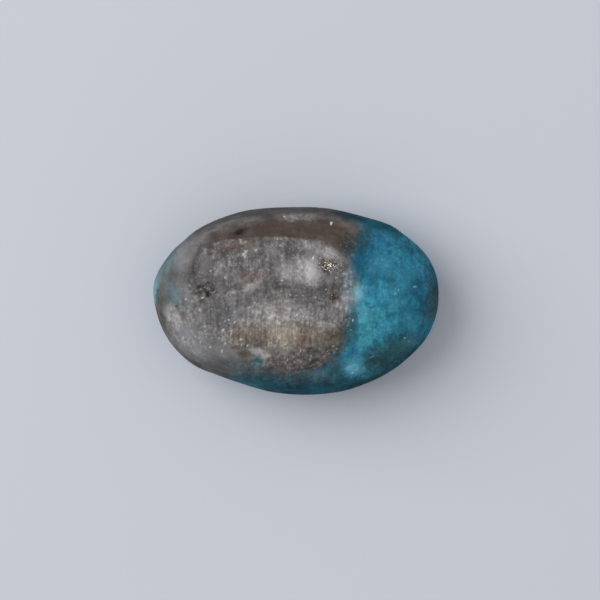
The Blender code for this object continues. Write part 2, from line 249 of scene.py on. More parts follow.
TURQUOISE_MARKS = {
    "green brown by the band": Mark("green_brown", (3.85, 3.85, 4.9), (0.55, 0.6, 1.2), 0.75, -20),
    "deep shade by the rock": Mark("turquoise_deep", (3.9, 2.1, 5.6), (0.8, 1.5, 1.6), 0.95, 0, 0.7),
    "shade, upper right": Mark("turquoise_deep", (5.0, 3.7, 4.6), (1.7, 0.5, 1.6), 0.35, -28, 0.7),
    "light cloud, top": Mark("turquoise", (4.9, 3.8, 4.9), (0.7, 0.5, 1.0), 0.5, -20),
    "deep shade, right": Mark("turquoise_deep", (6.8, 0.65, 4.6), (0.7, 1.2, 1.8), 0.75),
    "light cloud, upper": Mark("turquoise", (5.2, 2.0, 5.4), (1.1, 0.8, 1.5), 0.7),
    "green cloud": Mark("turquoise_green", (4.3, -0.9, 5.6), (1.0, 0.8, 1.5), 0.5),
    "pale cloud by the seam": Mark("turquoise_pale", (3.75, -0.85, 5.6), (0.5, 0.6, 1.2), 0.22),
    "pale cloud, low": Mark("turquoise_pale", (3.75, -1.75, 5.3), (0.4, 0.5, 1.2), 0.22),
    "light cloud, far right": Mark("turquoise", (6.05, 2.9, 4.6), (0.45, 0.4, 1.2), 0.7),
    "light cloud, right": Mark("turquoise", (6.0, 1.5, 5.0), (0.45, 0.35, 1.2), 0.7),
    "deep shade, lower right": Mark("turquoise_deep", (7.2, -1.2, 4.0), (0.5, 0.6, 1.2), 0.55),
    "deep shade, top": Mark("turquoise_deep", (4.75, 3.35, 5.0), (0.6, 0.3, 1.2), 0.45),
    "light cloud, lower": Mark("turquoise_green", (3.6, -1.7, 5.3), (0.7, 0.8, 1.5), 0.7),
    "bright lower blob": Mark("turquoise_pale", (3.38, -3.58, 4.6), (0.55, 0.58, 1.5), 0.7, 30, 0.7),
    "dark gap": Mark("deep_teal", (4.15, -2.9, 4.8), (0.45, 0.8, 1.5), 0.7, -35, 0.7),
    "dark spot by the seam": Mark("turquoise_dark", (4.15, -0.35, 5.6), (0.22, 0.07, 0.8), 0.6),
    "dark spot, green cloud": Mark("turquoise_dark", (4.42, -1.25, 5.5), (0.09, 0.22, 0.8), 0.5),
    "cloud below the rock": Mark("slate_pale", (1.3, -4.12, 4.2), (0.66, 0.45, 1.2), 0.75, 5, 0.7),
    "rock in the lower bevel": Mark("green_brown", (5.05, -2.92, 4.3), (1.8, 0.92, 1.4), 0.95, 30, 0.5),
    "streaks in it": Mark("deep_teal", (5.1, -3.0, 4.3), (1.7, 0.9, 1.4), 0.5, 30, 0.6, "gaps"),
    # Painted shade along the lower right rim
    "rim, lower right": Mark("turquoise_dark", (5.6, -3.75, 3.2), (2.8, 0.6, 1.4), 0.8, 36, 0.6),
    "brown rim, right": Mark("band_brown", (7.7, -0.05, 3.6), (0.45, 1.0, 1.1), 0.45),
    "green brown rim, upper right": Mark("green_brown", (7.35, 1.1, 3.6), (0.35, 1.6, 1.1), 0.5, 14, 0.7),
    # Painted glint along a pale scratch
    "pale scratch, painted glint": Mark("spark", (4.2, -3.12, 4.8), (0.24, 0.045, 0.6), 0.6, 25, 0.6),
    "shade, lower edge": Mark("slate_dark", (-0.3, -4.45, 4.0), (3.4, 0.55, 1.8), 0.9, 0, 0.5),
    "grey streaks, lower edge": Mark("rock_dark", (0.1, -4.55, 4.0), (0.9, 0.3, 1.2), 0.55, 3),
    # Painted shade along the lower rim
    "lower edge": Mark("turquoise_dark", (0.8, -4.8, 3.2), (5.4, 0.62, 1.8), 0.9, 2, 0.5),
    # Painted shade along the upper right rim
    "upper edge": Mark("turquoise_dark", (4.0, 4.6, 3.6), (1.9, 0.42, 1.6), 0.75, -22, 0.6),
    "pale skin at the tip": Mark("sea_grey", (-7.7, 1.0, 2.6), (1.2, 2.4, 1.6), 0.9, 0, 0.4),
    "dark patch below": Mark("turquoise_dark", (2.5, 0.8, 0.4), (2.2, 1.6, 1.0), 0.5, 25),
    "pale patch below": Mark("turquoise_pale", (-2.5, 1.2, 0.4), (2.4, 1.3, 1.0), 0.35, -15),
}

# Marks that lie across the seam of rock and turquoise
SEAM_MARKS = {
    "grey streaks by the band": Mark("rock_grey", (3.35, 4.05, 5.0), (0.45, 0.28, 1.0), 0.6),
    "dark seam, upper right": Mark("rock_dark", (2.85, 3.1, 5.6), (0.32, 0.5, 1.0), 0.45, 10),
    "deep teal by the band": Mark("deep_teal", (3.7, 3.15, 5.2), (0.45, 0.75, 1.2), 0.75, -20, 0.7),
    "deep teal, top edge": Mark("deep_teal", (3.1, 4.62, 4.4), (0.55, 0.24, 1.2), 0.55, -8),
    "dark seam, right": Mark("deep_teal", (3.15, 2.35, 5.8), (0.32, 0.55, 1.2), 0.6),
    "deep blue by the rock": Mark("turquoise_deep", (3.7, 2.2, 5.8), (0.5, 0.75, 1.2), 0.85, 0, 0.6),
    "pale seam, right": Mark("slate_pale", (2.95, 0.85, 6.0), (0.38, 1.0, 1.0), 0.8, 0, 0.7),
    "lobe of pale turquoise": Mark("slate_pale", (3.35, 0.45, 5.8), (0.32, 0.55, 1.0), 0.9, 0, 0.5),
    "dark grains, right": Mark("deep_teal", (3.25, -0.75, 5.7), (0.2, 0.3, 1.0), 0.55),
    "dark seam, lower right": Mark("deep_teal", (3.18, -1.7, 5.6), (0.28, 0.95, 1.2), 0.75, -8, 0.7),
    "olive corner": Mark("olive", (2.4, -2.1, 5.8), (0.4, 0.45, 1.0), 0.35),
    "dark seam, below": Mark("green_brown", (2.05, -4.0, 4.6), (0.75, 0.48, 1.2), 0.9, 15, 0.7),
    "deep teal, lower rim left": Mark("deep_teal", (-2.3, -4.62, 3.4), (1.3, 0.34, 1.2), 0.85, -12, 0.6),
    # Painted shade on the right of the top rim
    "dark teal, top rim right": Mark("turquoise_dark", (3.1, 4.82, 3.6), (0.9, 0.3, 1.3), 0.8, -10, 0.7),
    "shade by the olive corner": Mark("slate_dark", (2.65, -1.75, 5.8), (0.42, 0.75, 1.0), 0.42, -15),
}

# Soft veils over the grain
VEILS = {
    "quartz": Mark("quartz", (0.85, 1.82, 6.0), (0.42, 0.66, 0.9), 0.38, -6),
    "quartz, left": Mark("quartz", (-0.55, 1.68, 6.0), (0.5, 0.42, 0.9), 0.26),
    "bright blob": Mark("turquoise_pale", (3.25, -3.55, 4.6), (0.45, 0.5, 1.5), 0.25, 30),
    "cream chip": Mark("sea_grey", (6.15, -2.22, 4.2), (0.34, 0.2, 1.4), 0.4, 45),
    "green brown veil": Mark("green_brown", (5.5, -2.75, 4.3), (1.1, 0.52, 1.4), 0.36, 30),
    "worn rim, right": Mark("rock_grey", (7.3, -0.35, 3.8), (0.42, 0.75, 1.4), 0.16),
    "light cloud, upper": Mark("turquoise_pale", (4.6, 2.0, 5.4), (0.65, 0.5, 1.2), 0.16),
    "light cloud, right": Mark("turquoise_pale", (5.26, 0.05, 5.2), (0.5, 0.45, 1.2), 0.16),
    "lobe": Mark("turquoise_pale", (3.42, 0.42, 5.8), (0.24, 0.42, 1.0), 0.45, 0, 0.6),
    "pale seam": Mark("quartz", (2.8, 0.05, 5.8), (0.26, 0.42, 1.0), 0.24),
    "teal spot": Mark("sea_grey", (-6.74, 0.42, 4.4), (0.26, 0.42, 1.0), 0.42),
    "shade round the teal spot": Mark("slate_dark", (-7.0, 0.46, 4.2), (0.42, 0.46, 1.2), 0.34),
    "crescent, left": Mark("slate_pale", (-7.72, 1.1, 3.6), (0.19, 0.8, 1.2), 0.55, -18, 0.7),
    "crescent's edge, left": Mark("turquoise_pale", (-7.95, 0.45, 3.1), (0.22, 1.0, 1.0), 0.5, -6, 0.6),
    "pale rock, left": Mark("rock_pale", (-5.1, 2.14, 5.5), (0.3, 0.45, 1.0), 0.45),
    "pale wisp": Mark("quartz", (-2.45, 0.7, 5.8), (0.4, 0.2, 1.0), 0.4, 35),
    "pale grains, left": Mark("rock_pale", (-5.94, -1.66, 5.0), (0.4, 0.35, 1.2), 0.35),
    "dark grains, left": Mark("rock_dark", (-4.54, -2.11, 5.4), (0.45, 0.35, 1.2), 0.45),
    "cool pale bevel": Mark("cool_pale", (-5.65, -2.15, 4.8), (1.05, 0.55, 1.4), 0.42, -38),
    "shade in the stain": Mark("band_brown", (-3.33, 2.9, 5.8), (0.34, 0.24, 1.0), 0.5),
    "pale by the stain": Mark("rock_pale", (-2.62, 3.02, 5.8), (0.2, 0.28, 1.0), 0.45),
    "rust by the stain": Mark("rust", (-2.56, 3.13, 5.8), (0.26, 0.2, 1.0), 0.34),
    "pale, upper middle": Mark("rock_pale", (-1.46, 2.82, 5.8), (0.38, 0.24, 1.0), 0.36),
    "shade in the ochre": Mark("band_brown", (-2.5, -1.95, 5.7), (0.28, 0.62, 1.0), 0.46),
    "streak in the ochre": Mark("band_brown", (-1.75, -1.9, 5.7), (0.09, 0.5, 1.0), 0.25, 4),
    "second streak": Mark("band_brown", (-0.05, -1.9, 5.7), (0.1, 0.45, 1.0), 0.25, -3),
    "pale core of the ochre": Mark("cream", (-0.4, -1.9, 5.7), (0.42, 0.7, 1.0), 0.32),
    "shade under the stain": Mark("rock_dark", (-3.1, 2.55, 5.8), (0.28, 0.32, 1.0), 0.35),
    "shade, left": Mark("rock_dark", (-4.5, 1.1, 5.7), (0.34, 0.38, 1.0), 0.3),
    "shade, middle left": Mark("rock_dark", (-3.14, 2.14, 5.7), (0.36, 0.3, 1.0), 0.34),
    "shade below it": Mark("rock_dark", (-4.14, 0.0, 5.7), (0.48, 0.3, 1.0), 0.32, 10),
    "cool shade, left end": Mark("cool_grey", (-6.2, 0.05, 5.0), (0.36, 0.42, 1.2), 0.45),
    "pits beside it": Mark("pit_black", (-5.62, 0.96, 5.3), (0.3, 0.24, 1.0), 0.3),
    "cool shade": Mark("cool_grey", (-3.75, -0.85, 5.6), (0.8, 0.5, 1.0), 0.45, 5),
    "pale rock, middle left": Mark("rock_pale", (-3.25, 1.12, 5.7), (0.24, 0.3, 1.0), 0.35),
    "shade at the rim": Mark("rock_dark", (2.46, 2.9, 5.9), (0.36, 0.16, 1.0), 0.35, -32),
    "dark flecks by the band": Mark("slate_dark", (2.93, 2.98, 5.6), (0.22, 0.42, 1.2), 0.4),
    "dark below the tongue": Mark("slate_dark", (2.0, -3.8, 4.8), (0.55, 0.38, 1.2), 0.55, 10),
    "dark below the bevel": Mark("pit_black", (-0.4, -4.1, 4.4), (0.7, 0.3, 1.2), 0.28),
    "shade below the bevel": Mark("slate_dark", (-1.1, -3.95, 4.6), (0.7, 0.32, 1.2), 0.42, -5),
    "shade below the pyrite": Mark("rock_dark", (1.68, 1.28, 6.0), (0.44, 0.26, 1.0), 0.5),
    "quartz core": Mark("quartz", (1.02, 1.48, 6.0), (0.32, 0.46, 0.9), 0.42),
    "shade, middle": Mark("rock_dark", (-2.58, 0.13, 5.7), (0.38, 0.36, 1.0), 0.45),
    "grey grains, corner": Mark("rock_grey", (1.86, -3.32, 5.0), (0.3, 0.22, 1.2), 0.42),
    "shade, corner": Mark("slate_dark", (2.2, -3.46, 4.9), (0.32, 0.28, 1.2), 0.5, 20),
    "pale cloud, lower rim": Mark("slate_pale", (1.18, -4.14, 4.2), (0.48, 0.28, 1.2), 0.32),
    "light cloud, far right": Mark("turquoise", (6.1, -0.26, 4.8), (0.46, 0.46, 1.2), 0.5),
    "deep cloud": Mark("turquoise_deep", (4.98, -0.54, 5.3), (0.42, 0.34, 1.2), 0.3),
    "pale flecks by the seam": Mark("turquoise_pale", (3.85, -0.72, 5.6), (0.42, 0.36, 1.2), 0.18),
    "shade at the tip": Mark("rock_dark", (-7.14, 0.04, 4.1), (0.32, 0.44, 1.2), 0.52),
    "pale beside the teal": Mark("slate_pale", (-6.62, 0.1, 4.6), (0.26, 0.28, 1.2), 0.5),
    "pale grains above them": Mark("rock_pale", (-5.38, -0.84, 5.4), (0.42, 0.3, 1.2), 0.42),
    "cool pale, lower left": Mark("cool_pale", (-3.98, -2.9, 5.3), (0.46, 0.28, 1.2), 0.28, -15),
    "green brown by the band": Mark("green_brown", (3.62, 3.45, 5.0), (0.34, 0.52, 1.2), 0.58, -20),
    "shade along the seam": Mark("slate_dark", (2.84, -1.9, 5.7), (0.22, 0.75, 1.2), 0.36, -12),
    "pale above the pyrite": Mark("quartz", (1.72, 2.52, 5.9), (0.5, 0.2, 1.0), 0.36, -14),
    "shade, left of the pale patch": Mark("rock_dark", (-2.86, -0.66, 5.7), (0.32, 0.3, 1.0), 0.36),
    "shade above the ochre": Mark("rock_dark", (-0.22, -1.22, 5.7), (0.34, 0.24, 1.0), 0.45),
    "pale nose": Mark("turquoise_pale", (3.72, 0.42, 5.7), (0.26, 0.5, 1.0), 0.4, 0, 0.7),
    "light cloud, right rim": Mark("turquoise", (6.1, 1.42, 4.8), (0.52, 0.62, 1.2), 0.62),
    "dark cloud by the rock": Mark("turquoise_dark", (3.7, 2.14, 5.7), (0.4, 0.55, 1.2), 0.22),
    "deep cloud, middle": Mark("turquoise_deep", (4.7, 0.0, 5.4), (0.42, 0.36, 1.2), 0.24),
    "teal, lower rim left": Mark("turquoise_green", (-2.5, -4.7, 3.6), (0.7, 0.26, 1.2), 0.26, -12),
    "teal, lower rim": Mark("turquoise", (1.23, -4.85, 3.4), (0.95, 0.28, 1.2), 0.32),
    "teal, top rim right": Mark("turquoise", (4.42, 4.38, 4.2), (0.8, 0.26, 1.4), 0.18, -18),
    "olive grains, corner": Mark("olive", (2.1, -3.36, 4.9), (0.42, 0.3, 1.2), 0.4),
    "white grains, far left": Mark("quartz", (-6.61, -0.99, 4.6), (0.28, 0.42, 1.2), 0.3, 10),
    "ochre, right end": Mark("ochre", (2.06, -2.05, 5.7), (0.38, 0.42, 1.0), 0.28),
    "cool pale, left bevel": Mark("cool_pale", (-6.27, 2.14, 4.6), (0.45, 0.6, 1.4), 0.24, -20),
    "green in the lower patch": Mark("turquoise_green", (5.75, -2.55, 4.3), (0.8, 0.4, 1.4), 0.22, 30),
    "blue by the seam": Mark("turquoise_deep", (3.25, 1.75, 5.8), (0.22, 0.45, 1.0), 0.45),
    "teal by the seam": Mark("turquoise_green", (2.98, -0.4, 5.8), (0.22, 0.42, 1.0), 0.3),
    "deep cloud, right": Mark("turquoise_deep", (5.6, 0.42, 5.0), (0.4, 0.4, 1.2), 0.24),
    "shade, lower bevel": Mark("pit_black", (-0.9, -3.46, 5.0), (0.4, 0.3, 1.2), 0.2),
    "shade by the chip": Mark("slate_dark", (-1.72, -3.6, 5.0), (0.26, 0.24, 1.2), 0.32),
}

# Painted glints of single crystals that catch the light one by one, seen from above: x, y, half length, turn,
# strength
ROCK_SPARKS = (
    (0.94, 2.36, 0.10, 90, 0.90), (1.96, 4.30, 0.10, 60, 0.75), (-0.64, 4.66, 0.07, 0, 0.60),
    (-0.78, 1.13, 0.08, 20, 0.60), (0.00, 0.30, 0.05, 0, 0.45), (0.39, 0.30, 0.05, 0, 0.45),
    (0.06, -0.77, 0.07, 45, 0.70), (0.42, -0.85, 0.05, 0, 0.50), (0.80, -0.92, 0.05, 0, 0.50),
    (-2.20, 2.80, 0.08, 30, 0.50), (-6.10, 0.10, 0.09, 0, 0.45), (-5.17, 0.18, 0.07, 20, 0.55),
    (-6.27, -2.06, 0.09, 70, 0.45), (-4.05, -1.62, 0.08, 60, 0.55), (-4.10, -2.78, 0.08, 80, 0.40),
    (-3.06, -2.14, 0.07, 0, 0.45), (-2.69, -2.46, 0.08, 50, 0.50), (-3.40, -1.20, 0.08, 70, 0.45),
    (-3.72, -1.05, 0.06, 10, 0.45), (-5.30, -2.30, 0.07, 80, 0.40), (-4.75, -2.55, 0.07, 60, 0.45),
    (-5.05, -1.70, 0.06, 30, 0.40), (-3.95, -2.35, 0.07, 90, 0.45), (-3.62, -1.85, 0.07, 75, 0.40),
    (2.05, -2.50, 0.08, 25, 0.35), (2.24, -2.66, 0.06, 60, 0.35), (1.30, -2.66, 0.06, 80, 0.30),
    (0.85, -3.05, 0.06, 60, 0.35), (0.25, -2.75, 0.07, 85, 0.40), (-0.45, -3.25, 0.06, 80, 0.35),
)
# Painted glints on the turquoise
TURQUOISE_SPARKS = (
    (3.14, -1.07, 0.09, 80, 0.80), (5.68, 0.60, 0.06, 65, 0.70), (5.48, 0.40, 0.05, 40, 0.40),
    (6.58, 0.79, 0.09, 5, 0.45), (3.90, -0.70, 0.06, 0, 0.45), (3.14, -3.99, 0.09, 0, 0.60),
    (3.05, -1.60, 0.06, 0, 0.50), (3.10, 0.10, 0.06, 90, 0.40), (2.85, -1.35, 0.05, 0, 0.50),
    (3.70, -0.10, 0.05, 0, 0.35), (2.95, -3.72, 0.20, 5, 0.30), (3.35, -3.80, 0.16, 35, 0.25),
    (6.05, -2.05, 0.06, 45, 0.55), (6.30, -2.25, 0.05, 70, 0.45),
)
# Small dark pits between the crystals
DARK_PITS = (
    (2.45, -2.45, 0.14, 60, 0.50), (1.95, -2.85, 0.15, 10, 0.55), (1.50, -2.95, 0.12, 40, 0.55),
    (2.35, -2.95, 0.13, 30, 0.50), (1.05, -2.80, 0.13, 0, 0.55), (0.60, -2.85, 0.10, 20, 0.50),
    (0.45, -3.25, 0.11, 60, 0.45), (-0.10, -2.90, 0.09, 50, 0.45), (-0.75, -3.10, 0.10, 20, 0.45),
    (1.10, -3.30, 0.14, 15, 0.50), (1.60, -3.55, 0.14, 10, 0.50), (-1.30, -3.15, 0.10, 40, 0.40),
    (-0.25, -3.60, 0.12, 30, 0.40), (0.70, -3.75, 0.13, 0, 0.40), (2.72, -1.80, 0.10, 80, 0.50),
    (2.80, -1.30, 0.08, 60, 0.45), (2.62, -1.05, 0.08, 30, 0.45), (2.90, 2.55, 0.08, 70, 0.35),
    (-5.40, 0.75, 0.12, 30, 0.50), (-5.55, 0.45, 0.10, 60, 0.45),
    (-5.05, 0.55, 0.10, 80, 0.45), (-4.80, 0.30, 0.10, 40, 0.50), (-3.30, -1.00, 0.09, 70, 0.40),
)

# ---- Relief of the skin ----

ROCK_FADE = (-0.15, 0.15)  # depths in the rock, in mm, between which its grain sets in
FACE_FADE = (-0.08, 0.08)  # depths in the rough face, in mm, between which it turns sugary
BASE_FADE = (0.02, 0.25)  # heights, in mm, between which relief sets in, since the rest flat has none
BARE_CRUST = 0.2  # share of the crust that the rock has where it isn't sugary
PIT_PATCHES = (-0.05, 0.25)  # levels of a noise between which patches of small pits set in


class Chip(NamedTuple):
    """An ellipsoid turned about Z, in mm and degrees, and its share of the full depth or height."""

    place: tuple
    radii: tuple
    share: float
    turn: float = 0.0


HOLLOWS = {
    "pit, dark left": Chip((-5.15, 0.78, 5.6), (0.18, 0.13, 0.5), 0.9),
    "pit, middle": Chip((-4.9, 0.38, 5.6), (0.15, 0.2, 0.5), 1.0),
    "pit, right": Chip((-4.62, 0.66, 5.6), (0.13, 0.12, 0.5), 0.8),
    "pit, far left": Chip((-5.4, 0.35, 5.5), (0.12, 0.1, 0.5), 0.7),
    "pit, upper": Chip((-4.85, 0.95, 5.6), (0.12, 0.09, 0.5), 0.6),
    "crease beside the face": Chip((-5.58, 2.15, 5.1), (0.2, 1.1, 0.8), 0.5, -20),
    "groove over the chip": Chip((-2.75, -2.5, 5.7), (0.3, 0.1, 0.5), 0.6, 35),
    "hollow in the chip": Chip((-2.05, -3.3, 5.3), (0.34, 0.24, 0.6), 0.8, -5),
    "rim notch, left": Chip((-3.25, -2.62, 5.6), (0.4, 0.14, 0.5), 0.8, 5),
    "rim notch, middle": Chip((0.6, -2.66, 5.8), (0.5, 0.12, 0.5), 0.7, 4),
    "rim notch, right": Chip((1.75, -2.62, 5.8), (0.42, 0.12, 0.5), 0.7, 10),
    "olive hollow": Chip((2.2, -2.05, 6.0), (0.5, 0.22, 0.5), 0.7, 15),
    "pyrite bed": Chip((1.72, 1.96, 6.1), (0.55, 0.36, 0.5), 0.6, -10),
    "bed in the gold spot": Chip((2.15, 0.22, 6.1), (0.26, 0.18, 0.5), 0.6),
    "hole in the band": Chip((-3.14, 3.85, 5.2), (0.3, 0.17, 0.5), 0.9, 35),
    "pit in the lower bevel": Chip((5.6, -2.6, 4.3), (0.45, 0.18, 0.6), 0.5, 30),
    "pit by the right rim": Chip((7.3, 0.1, 3.9), (0.25, 0.35, 0.6), 0.6),
    "scratch in the blue": Chip((5.66, 0.63, 5.6), (0.2, 0.05, 0.5), 0.35, 65),
    "nick in the blue": Chip((6.6, 0.86, 5.1), (0.12, 0.07, 0.5), 0.4, 10),
    "dent in the top edge": Chip((-0.7, 4.7, 4.9), (0.5, 0.15, 0.6), 0.4),
    "dent in the lower edge": Chip((2.3, -3.95, 4.6), (0.45, 0.22, 0.6), 0.5, 15),
    "arc in the bright blob": Chip((3.05, -3.95, 4.7), (0.28, 0.05, 0.5), 0.5, -20),
}

RAISED = {
    "white chip": Chip((-2.05, -2.8, 5.6), (0.46, 0.15, 0.6), 1.0, -8),
    "quartz patch": Chip((0.75, 1.8, 6.1), (0.55, 0.7, 0.6), 0.5, -12),
    "wisp": Chip((-4.0, 0.25, 5.8), (0.9, 0.14, 0.6), 0.6, 22),
    "lobe at the rock": Chip((3.6, 0.45, 5.9), (0.3, 0.6, 0.6), 0.6),
    "pale grain, left": Chip((-5.15, 0.17, 5.6), (0.11, 0.09, 0.5), 0.9),
    "pale grain, right": Chip((-4.65, 0.22, 5.6), (0.09, 0.1, 0.5), 0.9),
    "cloud's edge": Chip((-0.75, 0.15, 6.0), (0.35, 0.12, 0.5), 0.5, -25),
    "ridge of the rim": Chip((0.2, 3.6, 5.9), (2.4, 0.08, 0.6), 0.5),
}

# Where the skin is sugary though it lies outside the rough face
SUGARY = {
    "left side": Chip((-5.7, -1.0, 4.8), (2.1, 2.3, 2.4), 1.0),
    "lower bevel": Chip((-0.2, -3.4, 5.1), (3.4, 0.95, 1.6), 1.0),
    "by the turquoise": Chip((2.9, 2.9, 5.2), (0.8, 1.2, 1.2), 0.8),
    "top edge": Chip((0.2, 4.6, 4.6), (1.6, 0.3, 1.0), 0.6),
}

# Where the grain is broken open and stands out most
BROKEN = {
    "lower bevel": Chip((0.3, -3.1, 5.2), (2.9, 0.85, 1.4), 0.9, 3),
    "lower right corner": Chip((2.2, -2.6, 5.4), (0.9, 0.9, 1.4), 0.8),
    "seam, right": Chip((2.9, -1.0, 5.8), (0.5, 1.1, 1.0), 0.6),
    "seam, pale": Chip((2.85, 0.75, 5.8), (0.5, 1.2, 1.0), 0.6),
    "seam, upper right": Chip((2.9, 2.7, 5.4), (0.5, 0.9, 1.2), 0.4),
    "lower left": Chip((-4.8, -2.0, 5.2), (1.7, 0.9, 1.4), 0.4, -20),
    "pits, left": Chip((-5.1, 0.5, 5.5), (0.8, 0.6, 1.0), 0.8),
    "upper left": Chip((-3.3, 2.4, 5.7), (1.2, 0.8, 1.0), 0.5),
}
SOFT_EDGE = (0.4, 1.1)  # how far out a chip begins to fade, and where it is gone


def reach_of(form, point):
    """How far out a point is in a chip: 0 in its middle and 1 on its edge."""
    away = point - Vector(form.place)
    turn = math.radians(-form.turn)
    x = away.x * math.cos(turn) - away.y * math.sin(turn)
    y = away.x * math.sin(turn) + away.y * math.cos(turn)
    return math.hypot(x / form.radii[0], y / form.radii[1], away.z / form.radii[2])


def share_of(forms, point):
    """How much of the chips in this table there is at a point, from 0 to 1."""
    shares = (f.share * (1.0 - smooth_step(*SOFT_EDGE, reach_of(f, point))) for f in forms.values())
    return min(sum(shares), 1.0)


# ---- Beds of pyrite grains ----


class Bed(NamedTuple):
    """An ellipse seen from above, in mm, with a number of grains strewn over it."""

    place: tuple
    radii: tuple
    grains: int
    size: tuple  # edges of the smallest and the largest grain


BEDS = {
    "beside the quartz": Bed((1.84, 1.97), (0.45, 0.30), 135, (0.03, 0.078)),
    "right of the bed": Bed((2.45, 1.70), (0.35, 0.50), 14, (0.025, 0.055)),
    "left of the bed": Bed((1.30, 1.92), (0.26, 0.18), 22, (0.025, 0.06)),
    "gold brown spot": Bed((2.13, 0.24), (0.26, 0.18), 14, (0.03, 0.06)),
    "over the quartz": Bed((0.92, 2.36), (0.10, 0.08), 2, (0.05, 0.08)),
    "top edge": Bed((1.90, 4.38), (0.08, 0.06), 3, (0.05, 0.08)),
    "middle of the face": Bed((0.20, 0.40), (1.8, 0.9), 12, (0.02, 0.045)),
    "lower rim": Bed((1.60, -2.75), (0.7, 0.25), 12, (0.025, 0.05)),
    "left side": Bed((-4.4, -2.0), (1.6, 0.7), 12, (0.02, 0.04)),
}
BED_SEED = 7
GRAIN_SIDES = (1.0, 0.8, 0.7)
CORNER_CUT = 0.38  # how far from a grain's corner it is broken off, as a share of the longest side
EDGE_WEAR = 0.05  # the same for its edges
SUNK_SHARE = 0.25  # share of its size by which a grain's middle lies under the skin
SQUEEZE = (0.8, 1.2)  # how much a grain may be squeezed or drawn out along each of its sides
ABOVE_STONE = 9.0  # height in mm from which the grains are let down on the stone

# ---- The studio, in metres ----

FLOOR_RADIUS = 3.0
LAMP_PLACE = (-0.27, 0.11, 0.30)
LAMP_SIZE = 0.42
CAMERA_PLACE = (0.22 * MM, 0.05 * MM, 0.25)
SKY_COLOUR = (0.96, 0.98, 1.0)
HORIZON_SHARE = 0.4  # light at the horizon, as a share of the light from overhead

# ---- Settings that a user would change ----


def length_setting(label, what, default):
    return bpy.props.FloatProperty(
        name=label, description=what, default=default, subtype="DISTANCE", unit="LENGTH", precision=6
    )


class NuggetRelief(bpy.types.PropertyGroup):
    hollow: length_setting("Hollow depth", "Depth of the deepest chips and pits", 0.10 * MM)
    raised: length_setting("Chip height", "Height of the highest chips", 0.05 * MM)
    crust: length_setting("Crust", "Height of the crust on the rough face", 0.075 * MM)
    grain: length_setting("Grain", "Height of the fine grain on the rough face", 0.03 * MM)
    pits: length_setting("Pits", "Depth of the small pits in the rock", 0.06 * MM)
    polish: length_setting("Polish", "Unevenness left on the polished bevel", 0.02 * MM)


def colour_setting(label, what, default):
    return bpy.props.FloatVectorProperty(
        name=label, description=what, default=default, subtype="COLOR", min=0.0, max=1.0
    )


class NuggetColours(bpy.types.PropertyGroup):
    __annotations__ = {
        key: colour_setting(label, f"Colour of the {label.lower()}", screen_colour(*shade))
        for key, (label, shade) in PALETTE.items()
    }


class NuggetPyrite(bpy.types.PropertyGroup):
    scale: bpy.props.FloatProperty(
        name="Grain size", description="Size of the grains, as a share of the usual one", default=1.0, min=0.1
    )
    gold: colour_setting("Gold", "Colour of the grains", (0.93, 0.88, 0.79))


class NuggetStage(bpy.types.PropertyGroup):
    key_power: bpy.props.FloatProperty(
        name="Key light", description="Power of the large lamp", default=1.2, unit="POWER"
    )
    fill: bpy.props.FloatProperty(
        name="Fill light", description="Strength of the light from overhead", default=0.68
    )
    field: length_setting("Field", "Width of what the camera sees", 33.6 * MM)
    floor: colour_setting("Floor", "Colour of the floor", (0.60, 0.62, 0.68))


# ---- Node trees ----


def with_settings(made, settings):
    for name, value in settings.items():
        setattr(made, name, value)
    return made


